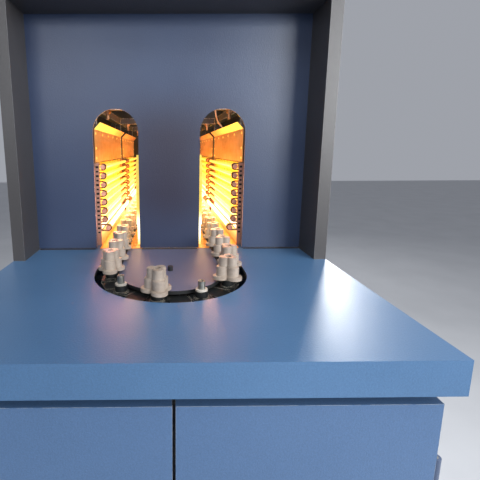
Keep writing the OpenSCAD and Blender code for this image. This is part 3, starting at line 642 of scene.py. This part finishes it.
def comb_hole_shade():
    """Dark sheets in the holes of the flanges that face the oven's mouth: painted shade, standing for
    the dark seen through the holes.
    """
    hole_x = (FLANGE_X[0] + FLANGE_X[1]) / 2
    pitch = (LAMP_HIGH - LAMP_LOW - 2 * TUBE_R) / (LAMPS - 1)
    front, thick, inset, cut = -1.9 * MM, 0.5 * MM, 0.1 * MM, 0.4 * MM
    made = bmesh.new()
    for side in (-1, 1):
        for start in MODULE_STARTS:
            for n in range(2 * LAMPS):
                wide, high = COMB_HOLES_MM[n % 2]
                z = LAMP_LOW + TUBE_R + (n / 2 if n % 2 == 0 else n / 2 - 1) * pitch
                half = (wide / 2 * MM - inset, high / 2 * MM - inset)
                low = Vector((side * hole_x - half[0], start + front, z - half[1]))
                high = Vector((side * hole_x + half[0], start + front + thick, z + half[1]))
                bevelled_plate(made, low, high, cut)
    return piece("comb_hole_shade", made, "shade", smooth=False)


def wall_foot_shade():
    """Dark bead along the joint between the wall's foot and the table: painted shade for the
    shadowed gap under the wall.
    """
    radius, gap, steps = 1.8 * MM, 0.1 * MM, 8
    clear_of_hood, clear_of_window = 2 * MM, 4 * MM
    outer, near, inner = (wall_high.x - clear_of_hood, WINDOW_X[1] + clear_of_window,
                          WINDOW_X[0] - clear_of_window)
    corner_y, corner_z = WALL_Y - gap, TABLE_Z + gap
    angles = [math.pi / 2 * n / steps for n in range(steps + 1)]
    outline = [(corner_y, corner_z)]
    outline += [(corner_y - radius * math.sin(a), corner_z + radius * math.cos(a)) for a in angles]
    made = bmesh.new()
    for ends in ((-outer, -near), (-inner, inner), (near, outer)):
        prism(made, *([(x, y, z) for y, z in outline] for x in ends))
    return piece("wall_foot_shade", made, "foot_shade")


def hanger_bolts():
    """A stud with washer and nut under each cross tie, over both lanes."""
    hanger_x = 150 * MM
    tie_low = TIE_HIGH.z - TIE_W
    washer = [(9 * MM, 0.0), (9 * MM, 1.6 * MM), (0.0, 1.6 * MM)]
    nut = [(7.2 * MM, 0.0), (7.6 * MM, 0.8 * MM), (7.6 * MM, 6 * MM), (7.0 * MM, 6.8 * MM),
           (0.0, 6.8 * MM)]
    stud = [(4 * MM, 0.0), (4 * MM, 13 * MM), (3.2 * MM, 14 * MM), (0.0, 14 * MM)]
    made = bmesh.new()
    for side in (-1, 1):
        for y in TIES_Y:
            for profile, start, steps in ((washer, 0.0, 24), (nut, 1.6, 6), (stud, 8.4, 16)):
                place = (side * hanger_x, y, tie_low - start * MM)
                turned(made, profile, place, (0, 0, -1), steps)
    return piece("hanger_bolts", made, "stud")


def skin_screws():
    """Button-head screws that hold the side and rear skins to the frame."""
    low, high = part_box("side_skins")
    inset, rows = 25 * MM, 6
    head = [(5.2 * MM, 0.0), (5.2 * MM, 0.6 * MM), (4.4 * MM, 1.9 * MM), (2.6 * MM, 2.6 * MM),
            (1.9 * MM, 2.6 * MM), (1.7 * MM, 1.2 * MM), (0.0, 1.2 * MM)]
    made = bmesh.new()
    for z in (low.z + inset, high.z - inset):
        for n in range(rows):
            share = n / (rows - 1)
            y = low.y + inset + share * (high.y - low.y - 3 * inset)
            for side in (-1, 1):
                turned(made, head, (side * high.x, y, z), (side, 0, 0))
            if n % 2 == 0 or n == rows - 1:
                x = low.x + inset + share * (high.x - low.x - 2 * inset)
                turned(made, head, (x, high.y, z), (0, 1, 0))
    return piece("skin_screws", made, "screw")


def smooth_route(points, steps):
    """Catmull-Rom curve through the points, with so many steps between two of them."""
    ends = [2 * points[0] - points[1]] + points + [2 * points[-1] - points[-2]]
    route = []
    for a, b, c, d in zip(ends, ends[1:], ends[2:], ends[3:]):
        for n in range(steps):
            t = n / steps
            route.append(0.5 * (2 * b + (c - a) * t + (2 * a - 5 * b + 4 * c - d) * t ** 2
                                + (3 * b - 3 * c + d - a) * t ** 3))
    return route + [points[-1]]


# Across the oven and up from the table, at one depth behind the wall, clear of posts and rail
WIRE_DEPTH = 366 * MM
WIRE_PLACES = (
    (0.1505, HOOD_TOP - TABLE_Z - 3 * MM), (0.1505, 0.56), (0.1507, 0.53), (0.1508, 0.50),
    (0.151, 0.47), (0.1513, 0.44), (0.1516, 0.41), (0.1522, 0.385), (0.1535, 0.36),
    (0.157, 0.338), (0.163, 0.322), (0.1715, 0.3115), (0.180, 0.302), (0.186, 0.289),
    (0.1885, 0.27), (0.1885, 0.25), (0.187, 0.23), (0.184, 0.213), (0.1795, 0.202),
)


def lamp_wire():
    """Sheathed wire of the right lane's lamps, from the hood's roof to the first module's back."""
    radius = 2.5 * MM
    points = [Vector((x, WALL_Y + WIRE_DEPTH, TABLE_Z + z)) for x, z in WIRE_PLACES]
    route = smooth_route(points, 5)
    data = bpy.data.curves.new("lamp_wire", "CURVE")
    data.dimensions = "3D"
    data.bevel_depth = radius
    data.bevel_resolution = 3
    data.use_fill_caps = True
    line = data.splines.new("POLY")
    line.points.add(len(route) - 1)
    for point, place in zip(line.points, route):
        point.co = (*place, 1.0)
    obj = bpy.data.objects.new("lamp_wire", data)
    bpy.context.scene.collection.objects.link(obj)
    data.materials.append(materials["sheath"])
    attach(obj, "machine")
    return obj


dress_nodes()
place_camera()
lamp_wire()
studio()
wing_rivets()
heat_sills()
comb_hole_shade()
wall_foot_shade()
hanger_bolts()
skin_screws()
